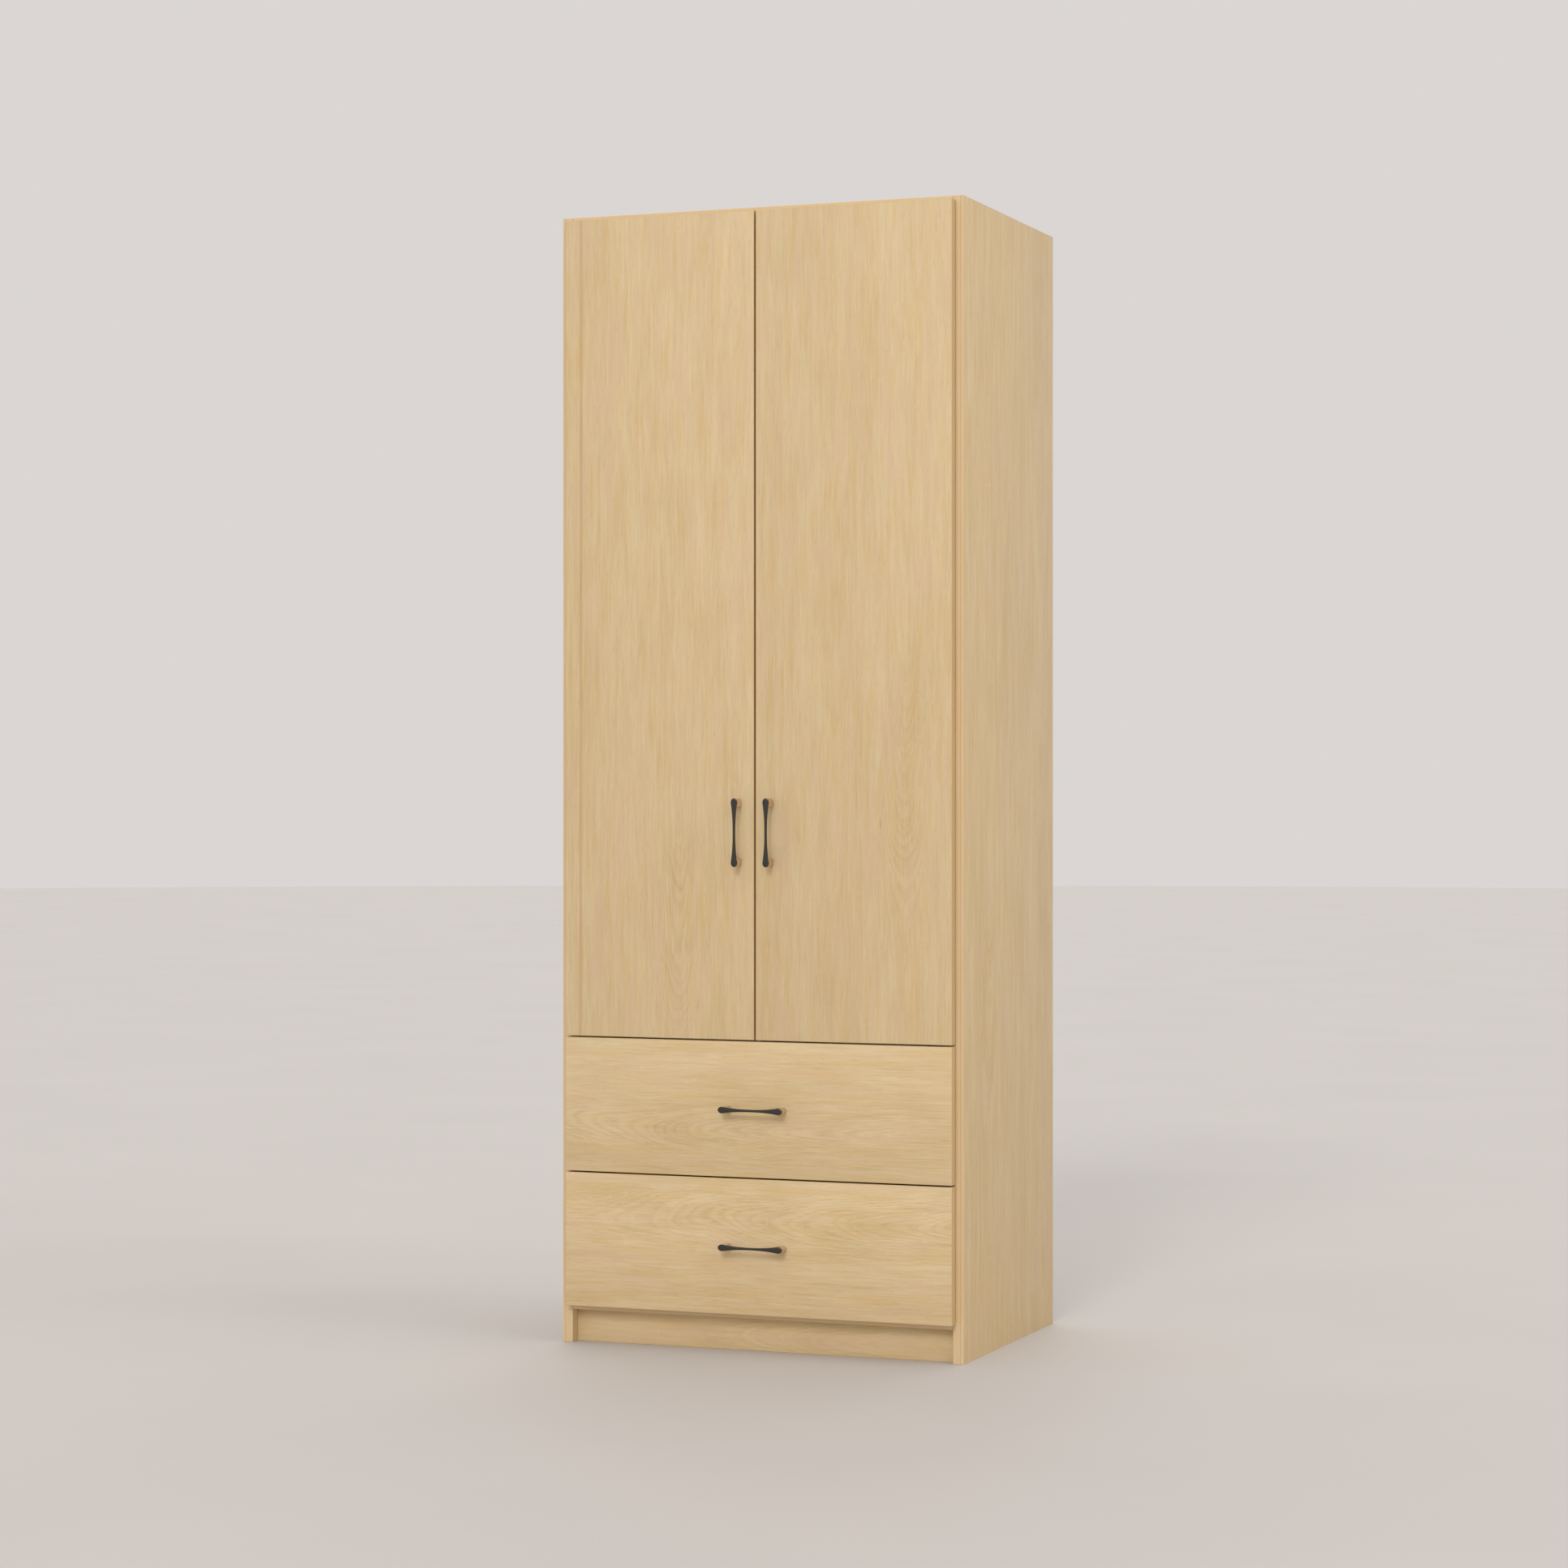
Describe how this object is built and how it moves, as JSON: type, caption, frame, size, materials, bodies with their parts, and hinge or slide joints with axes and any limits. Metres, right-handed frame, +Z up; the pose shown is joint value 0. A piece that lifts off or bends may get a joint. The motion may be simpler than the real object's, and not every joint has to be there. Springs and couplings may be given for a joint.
{
  "type": "armoire",
  "caption": "Tall wardrobe cabinet: hinged doors over a hanging rod and hat shelf, pull-out drawers below, bow-tie bar handles.",
  "frame": {"origin": "floor level, middle of the overall box with the handles included", "axes": "+Z up, doors and drawers face -Y, +X to the right seen from the front"},
  "size_m": [0.762, 0.5804, 2.032],
  "materials": {
    "oak_board": "satin",
    "drawer_board": "satin",
    "hardboard": "matte",
    "handle_metal": "gloss",
    "hinge_steel": "satin",
    "slide_steel": "satin",
    "rod_chrome": "polished"
  },
  "bodies": {
    "carcass": {"side_panel_left": "oak_board", "side_panel_right": "oak_board", "top_panel": "oak_board", "hat_shelf": "oak_board", "fixed_shelf": "oak_board", "bottom_panel": "oak_board", "toe_kick": "oak_board", "rear_kick_board": "oak_board", "back_panel": "hardboard", "hanging_rod": "rod_chrome", "rod_socket_left": "rod_chrome", "rod_socket_right": "rod_chrome", "hinge_arm_left_lower": "hinge_steel", "hinge_arm_left_middle": "hinge_steel", "hinge_arm_left_upper": "hinge_steel", "hinge_arm_right_lower": "hinge_steel", "hinge_arm_right_middle": "hinge_steel", "hinge_arm_right_upper": "hinge_steel", "drawer_lower_slide_cabinet_left": "slide_steel", "drawer_lower_slide_cabinet_right": "slide_steel", "drawer_upper_slide_cabinet_left": "slide_steel", "drawer_upper_slide_cabinet_right": "slide_steel"},
    "door_left": {"door_left": "oak_board", "door_left_handle": "handle_metal", "door_left_cup_lower": "hinge_steel", "door_left_cup_middle": "hinge_steel", "door_left_cup_upper": "hinge_steel"},
    "hinge_links_left": {"hinge_link_left_lower": "hinge_steel", "hinge_link_left_middle": "hinge_steel", "hinge_link_left_upper": "hinge_steel"},
    "door_right": {"door_right": "oak_board", "door_right_handle": "handle_metal", "door_right_cup_lower": "hinge_steel", "door_right_cup_middle": "hinge_steel", "door_right_cup_upper": "hinge_steel"},
    "hinge_links_right": {"hinge_link_right_lower": "hinge_steel", "hinge_link_right_middle": "hinge_steel", "hinge_link_right_upper": "hinge_steel"},
    "drawer_lower": {"drawer_lower_front": "oak_board", "drawer_lower_side_left": "drawer_board", "drawer_lower_side_right": "drawer_board", "drawer_lower_box_front": "drawer_board", "drawer_lower_box_back": "drawer_board", "drawer_lower_bottom": "hardboard", "drawer_lower_handle": "handle_metal", "drawer_lower_slide_drawer_left": "slide_steel", "drawer_lower_slide_drawer_right": "slide_steel"},
    "slide_middles_lower": {"drawer_lower_slide_middle_left": "slide_steel", "drawer_lower_slide_middle_right": "slide_steel"},
    "drawer_upper": {"drawer_upper_front": "oak_board", "drawer_upper_side_left": "drawer_board", "drawer_upper_side_right": "drawer_board", "drawer_upper_box_front": "drawer_board", "drawer_upper_box_back": "drawer_board", "drawer_upper_bottom": "hardboard", "drawer_upper_handle": "handle_metal", "drawer_upper_slide_drawer_left": "slide_steel", "drawer_upper_slide_drawer_right": "slide_steel"},
    "slide_middles_upper": {"drawer_upper_slide_middle_left": "slide_steel", "drawer_upper_slide_middle_right": "slide_steel"}
  },
  "joints": [
    {"name": "door_left_swing", "type": "hinge", "parent": "carcass", "child": "door_left", "pos_m": [-0.3605, -0.2592, 1.29], "axis": [0, 0, -1], "range_deg": [0, 110]},
    {"name": "door_right_swing", "type": "hinge", "parent": "carcass", "child": "door_right", "pos_m": [0.3605, -0.2592, 1.29], "axis": [0, 0, 1], "range_deg": [0, 110]},
    {"name": "hinge_links_left_turn", "type": "hinge", "parent": "carcass", "child": "hinge_links_left", "pos_m": [-0.3361, -0.2537, 1.29], "axis": [0, 0, 1], "range_deg": [0, 56]},
    {"name": "hinge_links_right_turn", "type": "hinge", "parent": "carcass", "child": "hinge_links_right", "pos_m": [0.3361, -0.2537, 1.29], "axis": [0, 0, -1], "range_deg": [0, 56]},
    {"name": "drawer_lower_slide", "type": "slide", "parent": "carcass", "child": "drawer_lower", "axis": [0, -1, 0], "range_m": [0, 0.44]},
    {"name": "drawer_upper_slide", "type": "slide", "parent": "carcass", "child": "drawer_upper", "axis": [0, -1, 0], "range_m": [0, 0.44]},
    {"name": "slide_middles_lower_slide", "type": "slide", "parent": "carcass", "child": "slide_middles_lower", "axis": [0, -1, 0], "range_m": [0, 0.221]},
    {"name": "slide_middles_upper_slide", "type": "slide", "parent": "carcass", "child": "slide_middles_upper", "axis": [0, -1, 0], "range_m": [0, 0.221]}
  ],
  "couplings": [
    {"joint": "hinge_links_left_turn", "follows": "door_left_swing", "ratio": 0.5},
    {"joint": "hinge_links_right_turn", "follows": "door_right_swing", "ratio": 0.5},
    {"joint": "slide_middles_lower_slide", "follows": "drawer_lower_slide", "ratio": 0.5},
    {"joint": "slide_middles_upper_slide", "follows": "drawer_upper_slide", "ratio": 0.5}
  ]
}
